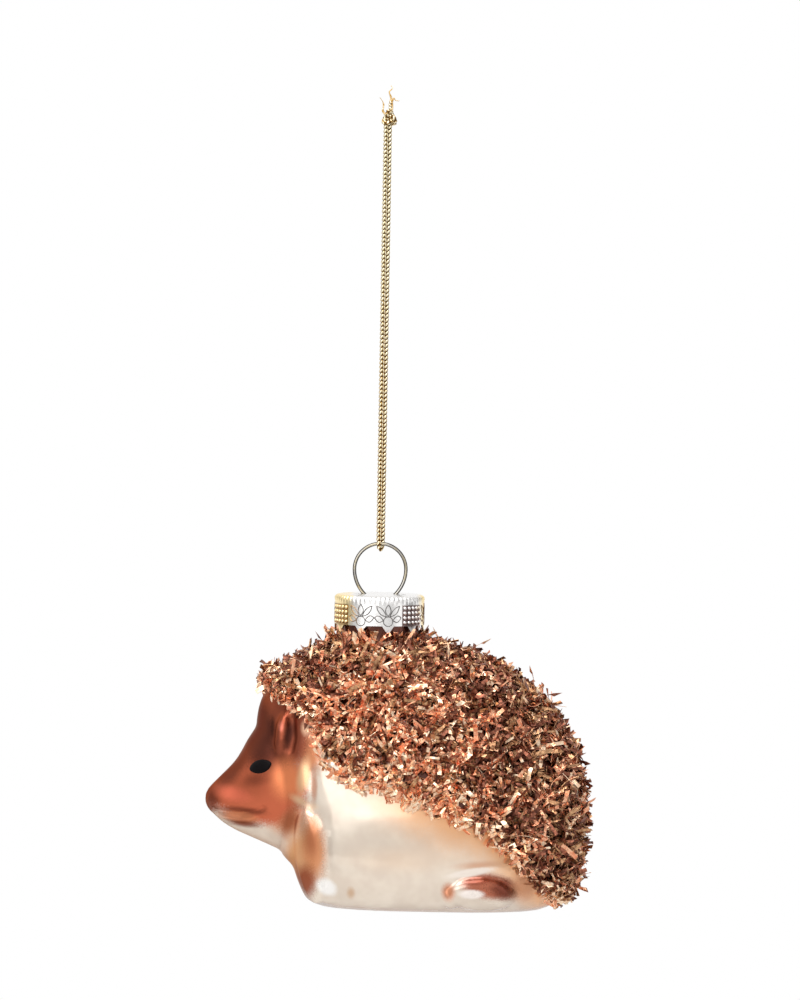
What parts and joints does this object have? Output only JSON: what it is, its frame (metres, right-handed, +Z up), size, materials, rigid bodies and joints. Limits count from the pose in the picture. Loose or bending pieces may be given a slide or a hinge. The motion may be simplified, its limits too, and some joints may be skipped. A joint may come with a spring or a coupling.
{
  "type": "hanging glass hedgehog ornament",
  "caption": "Blown glass hedgehog ornament with a tinsel coat over its back, crown cap, wire ring hanger and gold cord loop; hangs by the loop or stands on its flat base.",
  "frame": {"origin": "inside the top of the cord loop, just under the knot, where a hook or twig carries it", "axes": "+Z up along the cord, -X towards the hedgehog's nose, -Y out of its left flank"},
  "size_m": [0.0777, 0.0506, 0.1634],
  "materials": {
    "lacquered_glass": "satin pearl lacquer over silvered glass",
    "black_enamel": "matte",
    "copper_tinsel": "metallised film",
    "pale_gold_cap": "bright stamped",
    "steel_wire": "bright drawn",
    "gold_cord": "metallic chainette"
  },
  "bodies": {
    "knot": {"cord_knot": "gold_cord", "cord_tails": "gold_cord"},
    "cord": {"hanging_cord": "gold_cord"},
    "hanger": {"wire_hanger": "steel_wire"},
    "cap": {"cap": "pale_gold_cap"},
    "ornament": {"glass_body": "lacquered_glass", "eye_left": "black_enamel", "eye_right": "black_enamel", "tinsel_brow": "copper_tinsel", "tinsel_left_side": "copper_tinsel", "tinsel_right_side": "copper_tinsel", "tinsel_left_haunch": "copper_tinsel", "tinsel_right_haunch": "copper_tinsel"}
  },
  "joints": [
    {"name": "cord_twist", "type": "hinge", "parent": "knot", "child": "cord", "pos_m": [0, 0, 0], "axis": [0, 0, 1], "range_deg": [-180, 180]},
    {"name": "ring_swing", "type": "hinge", "parent": "cord", "child": "hanger", "pos_m": [0, 0, -0.0835], "axis": [1, 0, 0], "range_deg": [-120, 120]},
    {"name": "cap_lift", "type": "slide", "parent": "hanger", "child": "cap", "axis": [0, 0, 1], "range_m": [0, 0.0012]},
    {"name": "neck_pull", "type": "slide", "parent": "hanger", "child": "ornament", "axis": [0, 0, -1], "range_m": [0, 0.02]}
  ]
}
